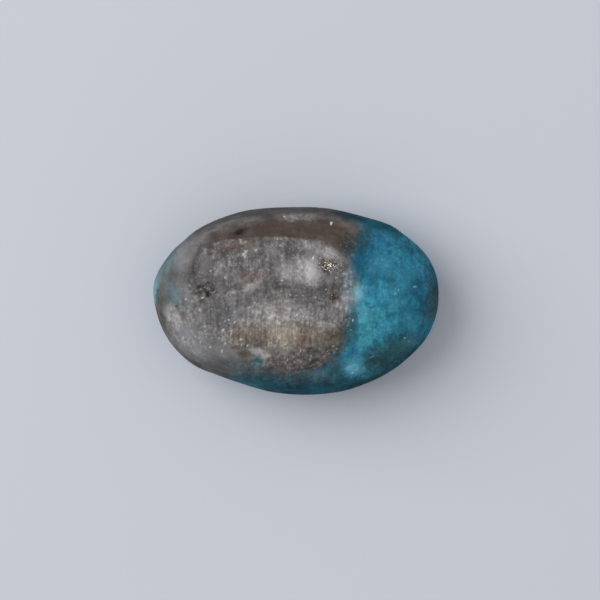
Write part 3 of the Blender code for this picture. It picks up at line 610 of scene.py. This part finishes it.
class Graph:
    """Short calls that add nodes to one node tree and link them."""

    def __init__(self, tree):
        self.tree = tree

    def add(self, kind, inputs, **settings):
        made = with_settings(self.tree.nodes.new(kind), settings)
        self.feed(made, inputs)
        return made

    def feed(self, node, inputs):
        """Sets a node's inputs, or links them to sockets. A colour is given without its alpha."""
        for name, value in inputs.items():
            socket = node.inputs[name]
            if isinstance(value, bpy.types.NodeSocket):
                self.tree.links.new(value, socket)
            else:
                socket.default_value = (*value, 1.0) if socket.type == "RGBA" else value

    def math(self, operation, first, second=0.0):
        return self.add("ShaderNodeMath", {0: first, 1: second}, operation=operation).outputs[0]

    def total(self, first, *others):
        for other in others:
            first = self.math("ADD", first, other)
        return first

    def times(self, first, *others):
        for other in others:
            first = self.math("MULTIPLY", first, other)
        return first

    def vector(self, operation, first, second=(0.0, 0.0, 0.0)):
        made = self.add("ShaderNodeVectorMath", {0: first, 1: second}, operation=operation)
        return made.outputs["Value" if operation == "LENGTH" else "Vector"]

    def ramp(self, value, low, high, start=0.0, end=1.0):
        """Runs smoothly from start to end while value runs from low to high.

        It stays at both ends by itself. Clamping it as well would only make the shader larger.
        """
        made = self.add(
            "ShaderNodeMapRange",
            {"Value": value, "From Min": low, "From Max": high, "To Min": start, "To Max": end},
            interpolation_type="SMOOTHSTEP",
            clamp=False,
        )
        return made.outputs["Result"]

    def blend(self, share, first, second):
        made = self.add("ShaderNodeMix", {0: share, 6: first, 7: second}, data_type="RGBA")
        return made.outputs[2]

    def place_in_mm(self):
        place = self.add("ShaderNodeTexCoord", {}).outputs["Object"]
        made = self.add("ShaderNodeVectorMath", {0: place, "Scale": 1.0 / MM}, operation="SCALE")
        return made.outputs["Vector"]

    def noise(self, place, scale, detail=2.0, roughness=0.5, shift=0.0, output="Fac"):
        made = self.add(
            "ShaderNodeTexNoise",
            {"Vector": place, "W": shift, "Scale": scale, "Detail": detail, "Roughness": roughness},
            noise_dimensions="4D",
        )
        return made.outputs[output]

    def lines(self, place, across, along, *details):
        """A noise drawn out along Y, as by grinding."""
        return self.noise(self.vector("MULTIPLY", place, (across, along, 1.0)), 1.0, *details)

    def swing(self, noise, amount):
        """A noise, which runs from 0 to 1, made to swing round 0 by this amount in all."""
        return self.times(self.math("SUBTRACT", noise, 0.5), amount)

    def pushed(self, place, by, scale, detail, roughness, amount):
        """A place moved by a noise of three channels, found at another place, by this amount in all."""
        channels = self.noise(by, scale, detail, roughness, output="Color")
        channels = self.add("ShaderNodeSeparateColor", {"Color": channels}).outputs
        moves = {axis: self.swing(channels[axis], amount) for axis in range(3)}
        return self.vector("ADD", place, self.add("ShaderNodeCombineXYZ", moves).outputs[0])

    def cells(self, place, scale, output, feature="F1"):
        made = self.add("ShaderNodeTexVoronoi", {"Vector": place, "Scale": scale}, feature=feature)
        return made.outputs[output]

    def attribute(self, name):
        return self.add("ShaderNodeAttribute", {}, attribute_name=name).outputs["Fac"]


def mark_group():
    """Node group that gives how much of a mark there is at a place."""
    tree = bpy.data.node_groups.new("mark", "ShaderNodeTree")
    for name in ("Place", "Middle", "Radii"):
        tree.interface.new_socket(name, in_out="INPUT", socket_type="NodeSocketVector")
    for name in ("Turn", "Edge"):
        tree.interface.new_socket(name, in_out="INPUT", socket_type="NodeSocketFloat")
    tree.interface.new_socket("Share", in_out="OUTPUT", socket_type="NodeSocketFloat")
    graph = Graph(tree)
    given = graph.add("NodeGroupInput", {}).outputs
    away = graph.vector("SUBTRACT", given["Place"], given["Middle"])
    turned = graph.add(
        "ShaderNodeVectorRotate",
        {"Vector": away, "Angle": graph.times(given["Turn"], -1.0)},
        rotation_type="Z_AXIS",
    )
    reach = graph.vector("LENGTH", graph.vector("DIVIDE", turned.outputs[0], given["Radii"]))
    inner = graph.math("SUBTRACT", 1.0, given["Edge"])
    outer = graph.math("ADD", 1.0, given["Edge"])
    graph.add("NodeGroupOutput", {"Share": graph.ramp(reach, inner, outer, 1.0, 0.0)})
    return tree


class Ground(NamedTuple):
    """What the colours of the stone are laid out on."""

    place: bpy.types.NodeSocket  # in mm
    warped: bpy.types.NodeSocket  # the same, pushed about so that edges come out ragged
    zones: dict
    marks: bpy.types.NodeTree
    colours: NuggetColours

    def laid(self, graph, base, share, colour):
        """The base with this share of one of the stone's colours over it."""
        return graph.blend(share, base, getattr(self.colours, colour))


def painted(graph, base, marks, ground):
    """The base colour with each mark laid over it in turn."""
    for mark in marks:
        found = graph.add(
            "ShaderNodeGroup",
            {
                "Place": ground.warped, "Middle": mark.place, "Radii": mark.radii,
                "Turn": math.radians(mark.turn), "Edge": mark.edge,
            },
            node_tree=ground.marks,
        )
        share = graph.times(found.outputs["Share"], mark.strength)
        if mark.zone in ground.zones:
            share = graph.times(share, ground.zones[mark.zone])
        base = ground.laid(graph, base, share, mark.colour)
    return base


def rock_colour(graph, ground):
    """Grey rock, clouded dark, pale and warm, with its marks."""
    place, colours = ground.place, ground.colours
    tone = graph.ramp(graph.noise(place, 1.0, 4.0, 0.62), 0.32, 0.68)
    base = graph.blend(tone, colours.rock_dark, colours.rock_pale)
    base = ground.laid(graph, base, 0.45, "rock_grey")
    warm = graph.ramp(graph.noise(place, 0.8, 3.0, 0.6, 4.0), 0.50, 0.72)
    base = ground.laid(graph, base, graph.times(warm, 0.30), "ochre")
    return painted(graph, base, ROCK_MARKS.values(), ground)


def unevenness(graph, base, sparkle, *swings):
    """How light the grain is: the swings round the base, with the bright grains standing out more."""
    swing = graph.total(*swings)
    return graph.total(base, swing, graph.times(swing, swing, sparkle))


def rock_grain(graph, ground):
    """How light the rock's grain is at a place: grinding lines, clumps, sand and chips."""
    place, sugar = ground.place, ground.zones["sugar"]
    around = graph.vector("NORMALIZE", graph.vector("MULTIPLY", place, (1.0, 1.0, 0.0)))
    rings = graph.noise(around, 3.0, 3.0, 0.6, graph.times(graph.attribute("face_depth"), 1.2))
    lines = graph.ramp(ground.zones["face"], 0.0, 1.0, rings, graph.lines(place, 6.0, 0.7, 3.0, 0.6))
    clumps = graph.noise(place, 2.3, 4.0, 0.65, 2.0)
    sand = graph.noise(place, 6.5, 2.0, 0.6, 3.0)
    broken = graph.times(ground.zones["broken"], 2.2)
    return unevenness(
        graph, 0.94, 0.6,
        graph.swing(lines, graph.ramp(sugar, 0.0, 1.0, 0.9, 1.3)),
        graph.swing(clumps, graph.ramp(sugar, 0.0, 1.0, 0.9, 2.05)),
        graph.swing(sand, graph.total(graph.ramp(sugar, 0.0, 1.0, 0.5, 2.1), broken)),
    )


def crystals(graph, base, ground, fineness, rarity, colour, strength):
    """Single grains of one colour: a share of 1 less the rarity, of all that fit into the rock."""
    zones = ground.zones
    pick = graph.add("ShaderNodeSeparateColor", {"Color": graph.cells(ground.place, fineness, "Color")})
    picked = graph.ramp(pick.outputs[0], rarity, rarity + 0.1)
    near = graph.ramp(graph.cells(ground.place, fineness, "Distance"), 0.14, 0.36, 1.0, 0.0)
    patch = graph.ramp(graph.noise(ground.place, 1.5, 2.0, 0.5, fineness), 0.40, 0.58)
    patch = graph.math("MAXIMUM", patch, graph.times(zones["broken"], 0.6))
    return ground.laid(graph, base, graph.times(picked, near, patch, zones["sugar"], strength), colour)


def flakes(graph, base, ground):
    """Ragged flakes, pale and dark, where the skin is broken open."""
    field = graph.noise(ground.place, 4.4, 4.0, 0.75, 7.0)
    for colour, low, high, strength in (("quartz", 0.55, 0.66, 0.50), ("pit_black", 0.46, 0.36, 0.60)):
        share = graph.ramp(field, low, high, 0.0, strength)
        share = graph.times(share, ground.zones["broken"], ground.zones["rock"])
        base = ground.laid(graph, base, share, colour)
    return base


def turquoise_colour(graph, ground):
    """Turquoise with deeper and greener clouds and its marks."""
    place, colours = ground.place, ground.colours
    cloud = graph.ramp(graph.noise(place, 0.75, 4.0, 0.6), 0.42, 0.68)
    base = graph.blend(cloud, colours.turquoise, colours.turquoise_deep)
    green = graph.ramp(graph.noise(place, 1.1, 4.0, 0.6, 5.0), 0.50, 0.68)
    base = ground.laid(graph, base, graph.times(green, 0.5), "turquoise_green")
    return painted(graph, base, TURQUOISE_MARKS.values(), ground)


def turquoise_grain(graph, ground):
    """How light the turquoise is at a place: clouds, clumps, fine mottling and grinding lines."""
    place = ground.place
    return unevenness(
        graph, 0.98, 0.8,
        graph.swing(graph.noise(place, 0.9, 2.0, 0.5, 3.0), 1.25),
        graph.swing(graph.noise(place, 2.2, 4.0, 0.65, 1.0), 2.0),
        graph.swing(graph.noise(place, 6.0, 3.0, 0.65, 2.0), 1.3),
        graph.swing(graph.lines(place, 5.0, 0.8, 3.0, 0.6, 7.0), 0.8),
    )


def hairlines(graph, base, ground):
    """Pale curved hairlines and flecks in the turquoise."""
    edge = graph.cells(ground.warped, 1.5, "Distance", "DISTANCE_TO_EDGE")
    gate = graph.ramp(graph.noise(ground.place, 1.4, 2.0, 0.5, 8.0), 0.50, 0.62)
    hair = graph.times(graph.ramp(edge, 0.0, 0.06, 0.16, 0.0), gate)
    fleck = graph.ramp(graph.noise(ground.place, 7.0, 2.0, 0.6, 9.0), 0.64, 0.74, 0.0, 0.45)
    share = graph.times(graph.math("MAXIMUM", hair, fleck), ground.zones["turquoise"])
    return ground.laid(graph, base, share, "turquoise_pale")


def veined(graph, base, ground, height):
    """Thin brown veins over the turquoise of the lower half."""
    edge = graph.cells(ground.warped, 0.42, "Distance", "DISTANCE_TO_EDGE")
    vein = graph.ramp(edge, 0.01, 0.045, 1.0, 0.0)
    gate = graph.ramp(graph.noise(ground.place, 0.8, 2.0), 0.40, 0.58)
    below = graph.ramp(height, 1.2, 2.6, 1.0, 0.0)
    share = graph.times(vein, gate, ground.zones["turquoise"], below)
    return ground.laid(graph, base, share, "vein_brown")


def new_material(name):
    made = bpy.data.materials.new(name)
    made.use_nodes = True
    return made, Graph(made.node_tree), made.node_tree.nodes["Principled BSDF"]


def skin_zones(graph, place):
    """How much of each zone, and of the dark seam round the rock, there is at a place."""
    depth = graph.total(
        graph.attribute("rock_depth"),
        graph.swing(graph.noise(place, 1.4, 2.0), 0.5),
        graph.swing(graph.noise(place, 4.0, 4.0, 0.7), 1.3),
        graph.swing(graph.noise(place, 8.0, 2.0, 0.6, 6.0), 0.6),
    )
    rock = graph.ramp(depth, -0.28, 0.28)
    face = graph.total(graph.attribute("face_depth"), graph.swing(graph.noise(place, 5.0), 0.12))
    face = graph.ramp(face, -0.05, 0.06)
    streaks = graph.lines(place, 5.5, 0.6, 3.0, 0.6, 5.0)
    return {
        "rock": rock,
        "turquoise": graph.math("SUBTRACT", 1.0, rock),
        "seam": graph.ramp(graph.math("ABSOLUTE", depth), 0.05, 0.40, 0.60, 0.0),
        "face": face,
        "bevel": graph.math("SUBTRACT", 1.0, face),
        "sugar": graph.attribute("sugar"),
        "broken": graph.attribute("broken"),
        "streaks": graph.ramp(streaks, 0.50, 0.60),
        "gaps": graph.ramp(streaks, 0.48, 0.38),
    }


def skin_light(graph, ground, height):
    """How light the skin is: its grain, with painted shade that darkens the chips and the skin near the
    girdle.
    """
    grains = turquoise_grain(graph, ground), rock_grain(graph, ground)
    light = graph.ramp(ground.zones["rock"], 0.0, 1.0, *grains)
    # Painted shade in the chips and pits, darkest where they are deepest
    light = graph.total(light, graph.times(graph.attribute("hollow"), -0.4))
    # Painted shade: the skin turns darker towards the girdle
    off_girdle = graph.math("ABSOLUTE", graph.math("SUBTRACT", height, GIRDLE_HEIGHT))
    worn = graph.ramp(off_girdle, 0.2, 1.9, 0.72, 1.0)
    return graph.times(graph.math("MAXIMUM", light, 0.3), worn)


def single_grains():
    """A small mark for each dark pit and each painted glint of a bright crystal, tall enough to reach the
    skin.
    """
    tables = {"pit_black": DARK_PITS, "spark": ROCK_SPARKS, "spark_blue": TURQUOISE_SPARKS}
    return [
        Mark(colour, (x, y, GIRDLE_HEIGHT + 2.0), (size, 0.6 * size, 2.0), strength, turn, 0.6)
        for colour, table in tables.items()
        for x, y, size, turn, strength in table
    ]


def skin_colour(graph, ground, height):
    """The minerals, their grain with its painted shade, the veils over it, and the single crystals, painted
    glints and veins on top.
    """
    skin = graph.blend(ground.zones["rock"], turquoise_colour(graph, ground), rock_colour(graph, ground))
    skin = ground.laid(graph, skin, ground.zones["seam"], "slate_dark")
    skin = painted(graph, skin, SEAM_MARKS.values(), ground)
    lit = {"Color": skin, "Value": skin_light(graph, ground, height)}
    skin = graph.add("ShaderNodeHueSaturation", lit).outputs["Color"]
    skin = painted(graph, skin, VEILS.values(), ground)
    skin = flakes(graph, skin, ground)
    skin = crystals(graph, skin, ground, 3.6, 0.70, "quartz", 0.55)
    skin = crystals(graph, skin, ground, 6.0, 0.80, "quartz", 0.45)
    skin = crystals(graph, skin, ground, 5.0, 0.87, "pit_black", 0.38)
    slightly = graph.pushed(ground.place, ground.place, 6.0, 3.0, 0.7, 0.22)
    # Dark pits and painted glints
    skin = painted(graph, skin, single_grains(), ground._replace(warped=slightly))
    skin = hairlines(graph, skin, ground)
    return veined(graph, skin, ground, height)


def stone_material(colours):
    made, graph, shader = new_material("turquoise_in_rock")
    place = graph.place_in_mm()
    warped = graph.pushed(graph.pushed(place, place, 1.4, 2.0, 0.5, 0.6), place, 6.0, 3.0, 0.7, 0.45)
    height = graph.add("ShaderNodeSeparateXYZ", {"Vector": place}).outputs["Z"]
    ground = Ground(place, warped, skin_zones(graph, place), mark_group(), colours)

    # The sugary rock is matt, and the bevel and the turquoise have a soft polish
    sugar = ground.zones["sugar"]
    roughness = graph.ramp(sugar, 0.0, 1.0, 0.42, 0.66)
    roughness = graph.total(roughness, graph.swing(graph.noise(place, 5.0, 3.0, 0.7), 0.4))

    # Grain that is too small for the mesh: crystals on the sugary rock, scratches on the polish
    grain = graph.total(
        graph.times(graph.noise(place, 11.0, 3.0, 0.75), graph.ramp(sugar, 0.0, 1.0, 0.35, 1.0)),
        graph.times(graph.lines(place, 14.0, 1.3, 2.0, 0.5), graph.ramp(sugar, 0.0, 1.0, 0.12, 0.4)),
    )
    bump = graph.add("ShaderNodeBump", {"Height": grain, "Strength": 1.0, "Distance": 0.03 * MM})
    graph.feed(shader, {
        "Base Color": skin_colour(graph, ground, height),
        "Roughness": roughness,
        "IOR": 1.5,
        "Specular IOR Level": 0.01,
        "Normal": bump.outputs["Normal"],
    })
    return made


def pyrite_material(gold):
    """Old gold, a little different and a little tarnished from grain to grain."""
    made, graph, shader = new_material("pyrite")
    tone = graph.ramp(graph.noise(graph.place_in_mm(), 12.0, 2.0), 0.35, 0.65)
    dull = [level * share for level, share in zip(gold, (0.45, 0.41, 0.36))]
    graph.feed(shader, {
        "Base Color": graph.blend(tone, dull, gold),
        "Roughness": graph.ramp(tone, 0.0, 1.0, 0.42, 0.22),
        "Metallic": 1.0,
    })
    return made


# ---- Modelling ----


def deselect_all():
    bpy.ops.object.select_all(action="DESELECT")


def make_active(piece):
    deselect_all()
    piece.select_set(True)
    bpy.context.view_layer.objects.active = piece


def apply_modifier(piece, name, kind, **settings):
    with_settings(piece.modifiers.new(name, kind), settings)
    make_active(piece)
    bpy.ops.object.modifier_apply(modifier=name)


RING_WIDTHS = (0.12 * MM, 0.6 * MM)  # of the rings of faces inside the edge of the flat underneath
TOUCHING = 0.001 * MM


def copied_solid():
    """A copy of the solid as a clean mesh of quads, with the flat it rests on as one ringed face."""
    stone = bpy.data.objects.new("nugget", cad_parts[SOLID].data.copy())
    bpy.context.scene.collection.objects.link(stone)
    make_active(stone)
    bpy.ops.object.mode_set(mode="EDIT")
    bpy.ops.mesh.select_all(action="SELECT")
    bpy.ops.mesh.remove_doubles(threshold=TOUCHING)
    bpy.ops.mesh.select_all(action="DESELECT")
    bpy.ops.object.mode_set(mode="OBJECT")
    for face in stone.data.polygons:
        face.select = face.normal.z < -0.9999 and face.center.z < TOUCHING
    bpy.ops.object.mode_set(mode="EDIT")
    bpy.ops.mesh.select_mode(type="FACE")
    bpy.ops.mesh.dissolve_faces()
    for width in RING_WIDTHS:
        bpy.ops.mesh.inset(thickness=width)
    bpy.ops.mesh.select_all(action="SELECT")
    bpy.ops.mesh.tris_convert_to_quads(face_threshold=math.radians(40), shape_threshold=math.radians(50))
    bpy.ops.object.mode_set(mode="OBJECT")
    return stone


def paint_group(piece, name, weights):
    """Makes a vertex group with one weight for each point."""
    group = piece.vertex_groups.new(name=name)
    for index, weight in enumerate(weights):
        group.add([index], weight, "REPLACE")


def grain_texture(name, kind, size, **settings):
    return with_settings(bpy.data.textures.new(name, kind), {"noise_scale": size, **settings})


def wear(piece, material):
    """Gives a piece this material alone."""
    piece.data.materials.clear()
    piece.data.materials.append(material)


def keep_in_box(piece):
    """Moves every point that stands out of the solid's box onto its sides."""
    for vert in piece.data.vertices:
        vert.co = [min(max(vert.co[k], BOX_LOW[k]), BOX_HIGH[k]) for k in range(3)]


def zones_of(stone):
    """What there is at each point of the skin: a list of shares, or of depths in mm, for each zone."""
    points = [vert.co / MM for vert in stone.data.vertices]
    rock = [depth_in_rock(point) for point in points]
    face = [depth_in_face(point) for point in points]
    grainy = [smooth_step(*ROCK_FADE, depth) for depth in rock]
    sugar = [
        share * max(smooth_step(*FACE_FADE, depth), share_of(SUGARY, point))
        for point, share, depth in zip(points, grainy, face)
    ]
    lifted = [smooth_step(*BASE_FADE, point.z) for point in points]
    crust = [max(s, BARE_CRUST * share) * up for s, share, up in zip(sugar, grainy, lifted)]
    patch = [smooth_step(*PIT_PATCHES, noise.noise(point * 1.1)) for point in points]
    return {
        "rock_depth": rock,
        "face_depth": face,
        "sugar": sugar,
        "broken": [share_of(BROKEN, point) * up for point, up in zip(points, lifted)],
        "hollow": [share_of(HOLLOWS, point) for point in points],
        "raised": [share_of(RAISED, point) for point in points],
        "crust": crust,
        "pitted": [c * part for c, part in zip(crust, patch)],
        "polished": [(1.0 - c) * up for c, up in zip(crust, lifted)],
    }


def give_relief(stone, zones, relief):
    """Raises the grain and cuts the chips, each by a displacement through a painted group."""
    layers = (
        ("hollow", None, -relief.hollow, 0.0),
        ("raised", None, relief.raised, 0.0),
        ("crust", grain_texture("crust", "CLOUDS", 0.42 * MM, noise_depth=2), relief.crust, 0.62),
        ("crust", grain_texture("grain", "CLOUDS", 0.13 * MM, noise_depth=1), relief.grain, 0.6),
        ("pitted", grain_texture("pits", "VORONOI", 0.30 * MM, noise_intensity=1.6), relief.pits, 1.0),
        ("polished", grain_texture("polish", "CLOUDS", 0.9 * MM, noise_depth=2), relief.polish, 0.6),
    )
    for name in ("hollow", "raised", "crust", "pitted", "polished"):
        paint_group(stone, name, zones[name])
    for zone, texture, strength, middle in layers:
        apply_modifier(
            stone, "relief", "DISPLACE", vertex_group=zone, texture=texture, strength=strength,
            mid_level=middle, texture_coords="LOCAL",
        )
    stone.vertex_groups.clear()
    keep_in_box(stone)


class NUGGET_OT_stone(bpy.types.Operator):
    """Refine the solid's skin, raise its grain and give it its rock and turquoise"""

    bl_idname = "nugget.stone"
    bl_label = "Stone"

    def execute(self, context):
        stone = copied_solid()
        apply_modifier(stone, "refine", "SUBSURF", levels=2, render_levels=2)
        zones = zones_of(stone)
        give_relief(stone, zones, context.scene.nugget_relief)
        for name in ("rock_depth", "face_depth", "sugar", "broken", "hollow"):
            layer = stone.data.attributes.new(name, "FLOAT", "POINT")
            layer.data.foreach_set("value", zones[name])
        wear(stone, stone_material(context.scene.nugget_colours))
        stone.data.shade_smooth()
        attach(stone, BODY)
        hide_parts(SOLID)
        return {"FINISHED"}


def first_grain():
    """One grain of pyrite, 1 mm over its longest side: a cube with worn edges and a broken corner."""
    bpy.ops.mesh.primitive_cube_add(size=1.0 * MM)
    grain = bpy.context.active_object
    grain.name = "pyrite"
    bpy.ops.object.mode_set(mode="EDIT")
    bpy.ops.mesh.select_all(action="DESELECT")
    bpy.ops.object.mode_set(mode="OBJECT")
    for vert in grain.data.vertices:
        vert.select = min(vert.co) > 0.0
    bpy.ops.object.mode_set(mode="EDIT")
    bpy.ops.mesh.select_mode(type="VERT")
    bpy.ops.mesh.bevel(offset=CORNER_CUT * MM, affect="VERTICES")
    bpy.ops.mesh.select_all(action="SELECT")
    bpy.ops.transform.resize(value=GRAIN_SIDES, center_override=(0.0, 0.0, 0.0))
    bpy.ops.object.mode_set(mode="OBJECT")
    apply_modifier(grain, "worn edges", "BEVEL", width=EDGE_WEAR * MM, segments=1)
    return grain


def strewn_grain(first, stone, bed, dice, scale):
    """A copy of the first grain, part sunk in the skin somewhere in a bed. It is smaller further out."""
    turn = dice.uniform(0.0, math.tau)
    out = math.sqrt(dice.random())
    x = bed.place[0] + bed.radii[0] * out * math.cos(turn)
    y = bed.place[1] + bed.radii[1] * out * math.sin(turn)
    above = Vector((x, y, ABOVE_STONE)) * MM
    hit, place, normal, _ = stone.ray_cast(above, Vector((0.0, 0.0, -1.0)))
    if not hit:
        raise RuntimeError("a bed of pyrite lies beside the stone")
    size = dice.uniform(*bed.size) * (1.25 - 0.5 * out) * scale
    grain = bpy.data.objects.new("pyrite_grain", first.data.copy())
    grain.location = place - normal * size * SUNK_SHARE * MM
    grain.rotation_euler = [dice.uniform(0.0, math.tau) for _ in range(3)]
    grain.scale = [size * dice.uniform(*SQUEEZE) for _ in range(3)]
    bpy.context.scene.collection.objects.link(grain)
    return grain


class NUGGET_OT_pyrite(bpy.types.Operator):
    """Scatter the beds of pyrite grains, part sunk in the stone's skin"""

    bl_idname = "nugget.pyrite"
    bl_label = "Pyrite"

    def execute(self, context):
        stone = bpy.data.objects["nugget"]
        settings = context.scene.nugget_pyrite
        dice = random.Random(BED_SEED)
        deselect_all()
        first = first_grain()
        grains = [
            strewn_grain(first, stone, bed, dice, settings.scale)
            for bed in BEDS.values()
            for _ in range(bed.grains)
        ]
        bpy.data.objects.remove(first)
        make_active(grains[0])
        for grain in grains:
            grain.select_set(True)
        bpy.ops.object.join()
        pyrite = context.active_object
        pyrite.name = "pyrite"
        bpy.ops.object.transform_apply(location=True, rotation=True, scale=True)
        keep_in_box(pyrite)
        wear(pyrite, pyrite_material(settings.gold))
        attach(pyrite, BODY)
        return {"FINISHED"}


def studio_world(fill):
    """Soft light from all round, brightest overhead and fading towards the horizon."""
    world = bpy.data.worlds.new("studio")
    world.use_nodes = True
    graph = Graph(world.node_tree)
    background = world.node_tree.nodes["Background"]
    direction = graph.add("ShaderNodeTexCoord", {}).outputs["Generated"]
    up = graph.add("ShaderNodeSeparateXYZ", {"Vector": direction}).outputs["Z"]
    strength = graph.ramp(up, 0.0, 1.0, HORIZON_SHARE * fill, fill)
    graph.feed(background, {"Strength": strength, "Color": SKY_COLOUR})
    return world


class NUGGET_OT_stage(bpy.types.Operator):
    """Set up the pale floor, the soft light and the camera above the stone"""

    bl_idname = "nugget.stage"
    bl_label = "Studio"

    def execute(self, context):
        stage = context.scene.nugget_stage
        deselect_all()
        bpy.ops.mesh.primitive_circle_add(vertices=96, radius=FLOOR_RADIUS, fill_type="NGON")
        floor = context.active_object
        floor.name = "floor"
        made, graph, shader = new_material("floor")
        graph.feed(shader, {"Base Color": stage.floor, "Roughness": 0.9, "Specular IOR Level": 0.1})
        wear(floor, made)

        bpy.ops.object.light_add(type="AREA", location=LAMP_PLACE)
        key = context.active_object
        key.name = "key_light"
        key.data.shape = "DISK"
        key.data.size = LAMP_SIZE
        key.data.energy = stage.key_power
        key.rotation_euler = (-key.location).to_track_quat("-Z", "Y").to_euler()
        context.scene.world = studio_world(stage.fill)

        bpy.ops.object.camera_add(location=CAMERA_PLACE, rotation=(0.0, 0.0, 0.0))
        camera = context.active_object
        camera.name = "camera"
        distance = CAMERA_PLACE[2] - GIRDLE_HEIGHT * MM
        camera.data.lens = camera.data.sensor_width * distance / stage.field
        camera.data.clip_start = 0.01
        context.scene.camera = camera
        context.scene.view_settings.view_transform = "Standard"
        return {"FINISHED"}


class NUGGET_PT_panel(bpy.types.Panel):
    """Lists the steps that make the nugget"""

    bl_idname = "NUGGET_PT_panel"
    bl_label = "Turquoise Nugget"
    bl_space_type = "VIEW_3D"
    bl_region_type = "UI"
    bl_category = "Nugget"

    def draw(self, context):
        for title, groups, step in (
            ("Stone", (context.scene.nugget_relief, context.scene.nugget_colours), NUGGET_OT_stone),
            ("Pyrite", (context.scene.nugget_pyrite,), NUGGET_OT_pyrite),
            ("Studio", (context.scene.nugget_stage,), NUGGET_OT_stage),
        ):
            box = self.layout.box()
            box.label(text=title)
            for group in groups:
                for name in group.__annotations__:
                    box.prop(group, name)
            box.operator(step.bl_idname)


SETTINGS = {
    "nugget_relief": NuggetRelief,
    "nugget_colours": NuggetColours,
    "nugget_pyrite": NuggetPyrite,
    "nugget_stage": NuggetStage,
}
CLASSES = (*SETTINGS.values(), NUGGET_OT_stone, NUGGET_OT_pyrite, NUGGET_OT_stage, NUGGET_PT_panel)


def register():
    for each in CLASSES:
        bpy.utils.register_class(each)
    for name, group in SETTINGS.items():
        setattr(bpy.types.Scene, name, bpy.props.PointerProperty(type=group))


def unregister():
    for name in SETTINGS:
        delattr(bpy.types.Scene, name)
    for each in reversed(CLASSES):
        bpy.utils.unregister_class(each)


def main():
    register()
    bpy.ops.nugget.stone()
    bpy.ops.nugget.pyrite()
    bpy.ops.nugget.stage()


if __name__ == "__main__":
    main()
